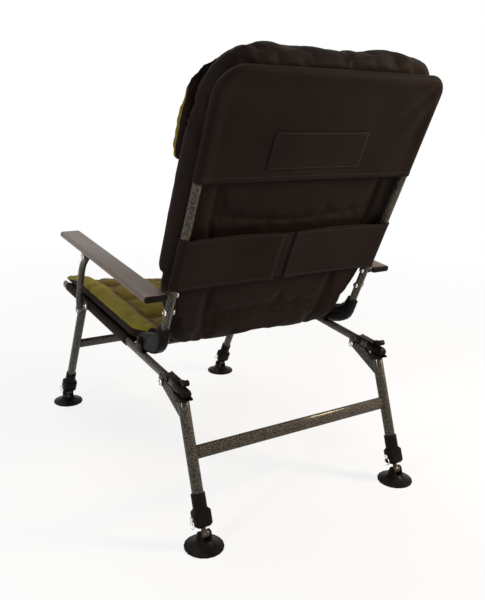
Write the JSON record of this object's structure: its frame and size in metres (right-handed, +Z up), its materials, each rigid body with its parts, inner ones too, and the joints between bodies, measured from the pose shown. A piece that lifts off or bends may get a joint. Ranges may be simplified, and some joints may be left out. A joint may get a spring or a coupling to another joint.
{
  "type": "folding fishing chair",
  "caption": "Low folding chair with padded seat and reclined back, linked armrests, latched rear legs and telescopic legs on tilting round mud feet.",
  "frame": {"origin": "on the floor under the middle of the chair", "axes": "+Z up, +X to the sitter's left, -Y the way the sitter faces"},
  "size_m": [0.642, 0.8968, 0.9597],
  "materials": {
    "frame_paint": "hammered bronze-grey paint, satin",
    "arm_paint": "smooth taupe paint, satin",
    "black_plastic": "moulded black plastic",
    "zinc_steel": "bright zinc plate",
    "black_fabric": "woven polyester",
    "olive_fabric": "soft brushed fabric, padded"
  },
  "bodies": {
    "seat_frame": {"seat_front_tube": "frame_paint", "seat_rear_tube": "frame_paint", "seat_sling": "black_fabric", "seat_cushion": "olive_fabric", "seat_rail_left": "frame_paint", "hinge_bracket_left": "black_plastic", "rail_end_cap_left": "black_plastic", "seat_rail_right": "frame_paint", "hinge_bracket_right": "black_plastic", "rail_end_cap_right": "black_plastic"},
    "back_frame": {"back_top_tube": "frame_paint", "upper_panel": "black_fabric", "lumbar_band_left": "black_fabric", "lumbar_band_right": "black_fabric", "back_cushion": "black_fabric", "head_pillow": "olive_fabric", "back_tube_left": "frame_paint", "hinge_cover_left": "black_plastic", "back_tube_right": "frame_paint", "hinge_cover_right": "black_plastic"},
    "front_leg_frame": {"front_crossbar": "frame_paint", "front_leg_left": "frame_paint", "leg_top_plug_left": "black_plastic", "front_bracket_left": "frame_paint", "arm_support_left": "frame_paint", "leg_clamp_front_left": "black_plastic", "front_leg_right": "frame_paint", "leg_top_plug_right": "black_plastic", "front_bracket_right": "frame_paint", "arm_support_right": "frame_paint", "leg_clamp_front_right": "black_plastic"},
    "rear_leg_frame": {"rear_crossbar": "frame_paint", "rear_leg_left": "frame_paint", "rear_gusset_left": "frame_paint", "leg_saddle_left": "black_plastic", "leg_clamp_rear_left": "black_plastic", "rear_leg_right": "frame_paint", "rear_gusset_right": "frame_paint", "leg_saddle_right": "black_plastic", "leg_clamp_rear_right": "black_plastic"},
    "armrest_left": {"armrest_left": "arm_paint", "armrest_cap_front_left": "black_plastic", "armrest_cap_rear_left": "black_plastic"},
    "armrest_right": {"armrest_right": "arm_paint", "armrest_cap_front_right": "black_plastic", "armrest_cap_rear_right": "black_plastic"},
    "rail_latch_left": {"rail_latch_left": "black_plastic"},
    "rail_latch_right": {"rail_latch_right": "black_plastic"},
    "inner_leg_front_left": {"inner_leg_front_left": "frame_paint"},
    "mud_foot_front_left": {"mud_foot_front_left": "black_plastic"},
    "lock_pin_front_left": {"lock_pin_front_left": "zinc_steel"},
    "inner_leg_front_right": {"inner_leg_front_right": "frame_paint"},
    "mud_foot_front_right": {"mud_foot_front_right": "black_plastic"},
    "lock_pin_front_right": {"lock_pin_front_right": "zinc_steel"},
    "inner_leg_rear_left": {"inner_leg_rear_left": "frame_paint"},
    "mud_foot_rear_left": {"mud_foot_rear_left": "black_plastic"},
    "lock_pin_rear_left": {"lock_pin_rear_left": "zinc_steel"},
    "inner_leg_rear_right": {"inner_leg_rear_right": "frame_paint"},
    "mud_foot_rear_right": {"mud_foot_rear_right": "black_plastic"},
    "lock_pin_rear_right": {"lock_pin_rear_right": "zinc_steel"}
  },
  "joints": [
    {"name": "back_fold", "type": "hinge", "parent": "seat_frame", "child": "back_frame", "pos_m": [0, 0.12255, 0.34887], "axis": [1, 0, 0], "range_deg": [0, 100]},
    {"name": "front_leg_fold", "type": "hinge", "parent": "seat_frame", "child": "front_leg_frame", "pos_m": [0, -0.21735, 0.34732], "axis": [1, 0, 0], "range_deg": [0, 99.5]},
    {"name": "rear_leg_fold", "type": "hinge", "parent": "seat_frame", "child": "rear_leg_frame", "pos_m": [0, 0.22772, 0.29021], "axis": [1, 0, 0], "range_deg": [-84, 0]},
    {"name": "armrest_pivot_left", "type": "hinge", "parent": "back_frame", "child": "armrest_left", "pos_m": [0.2835, 0.25483, 0.48431], "axis": [1, 0, 0], "range_deg": [-95, 0]},
    {"name": "armrest_pivot_right", "type": "hinge", "parent": "back_frame", "child": "armrest_right", "pos_m": [-0.2835, 0.25483, 0.48431], "axis": [1, 0, 0], "range_deg": [-95, 0]},
    {"name": "latch_lift_left", "type": "hinge", "parent": "seat_frame", "child": "rail_latch_left", "pos_m": [0.2615, 0.25315, 0.305], "axis": [1, 0, 0], "range_deg": [0, 25], "stiffness_Nm_per_rad": 0.2, "springref_deg": -11.46},
    {"name": "latch_lift_right", "type": "hinge", "parent": "seat_frame", "child": "rail_latch_right", "pos_m": [-0.2615, 0.25315, 0.305], "axis": [1, 0, 0], "range_deg": [0, 25], "stiffness_Nm_per_rad": 0.2, "springref_deg": -11.46},
    {"name": "leg_extend_front_left", "type": "slide", "parent": "front_leg_frame", "child": "inner_leg_front_left", "axis": [0, -0.4524, -0.8918], "range_m": [0, 0.12]},
    {"name": "foot_tilt_front_left", "type": "hinge", "parent": "inner_leg_front_left", "child": "mud_foot_front_left", "pos_m": [0.2597, -0.40828, 0.028], "axis": [1, 0, 0], "range_deg": [-20, 20]},
    {"name": "pin_pull_front_left", "type": "slide", "parent": "front_leg_frame", "child": "lock_pin_front_left", "axis": [1, 0, 0], "range_m": [0, 0.006], "stiffness_N_per_m": 300, "springref_m": -0.004},
    {"name": "leg_extend_front_right", "type": "slide", "parent": "front_leg_frame", "child": "inner_leg_front_right", "axis": [0, -0.4524, -0.8918], "range_m": [0, 0.12]},
    {"name": "foot_tilt_front_right", "type": "hinge", "parent": "inner_leg_front_right", "child": "mud_foot_front_right", "pos_m": [-0.2597, -0.40828, 0.028], "axis": [1, 0, 0], "range_deg": [-20, 20]},
    {"name": "pin_pull_front_right", "type": "slide", "parent": "front_leg_frame", "child": "lock_pin_front_right", "axis": [1, 0, 0], "range_m": [0, 0.006], "stiffness_N_per_m": 300, "springref_m": -0.004},
    {"name": "leg_extend_rear_left", "type": "slide", "parent": "rear_leg_frame", "child": "inner_leg_rear_left", "axis": [0, 0.3437, -0.9391], "range_m": [0, 0.12]},
    {"name": "foot_tilt_rear_left", "type": "hinge", "parent": "inner_leg_rear_left", "child": "mud_foot_rear_left", "pos_m": [0.2615, 0.40652, 0.028], "axis": [1, 0, 0], "range_deg": [-20, 20]},
    {"name": "pin_pull_rear_left", "type": "slide", "parent": "rear_leg_frame", "child": "lock_pin_rear_left", "axis": [1, 0, 0], "range_m": [0, 0.006], "stiffness_N_per_m": 300, "springref_m": -0.004},
    {"name": "leg_extend_rear_right", "type": "slide", "parent": "rear_leg_frame", "child": "inner_leg_rear_right", "axis": [0, 0.3437, -0.9391], "range_m": [0, 0.12]},
    {"name": "foot_tilt_rear_right", "type": "hinge", "parent": "inner_leg_rear_right", "child": "mud_foot_rear_right", "pos_m": [-0.2615, 0.40652, 0.028], "axis": [1, 0, 0], "range_deg": [-20, 20]},
    {"name": "pin_pull_rear_right", "type": "slide", "parent": "rear_leg_frame", "child": "lock_pin_rear_right", "axis": [1, 0, 0], "range_m": [0, 0.006], "stiffness_N_per_m": 300, "springref_m": -0.004}
  ],
  "couplings": [
    {"joint": "front_leg_fold", "follows": "back_fold", "ratio": 0.99},
    {"joint": "armrest_pivot_left", "follows": "back_fold", "ratio": -0.945},
    {"joint": "armrest_pivot_right", "follows": "back_fold", "ratio": -0.945}
  ]
}
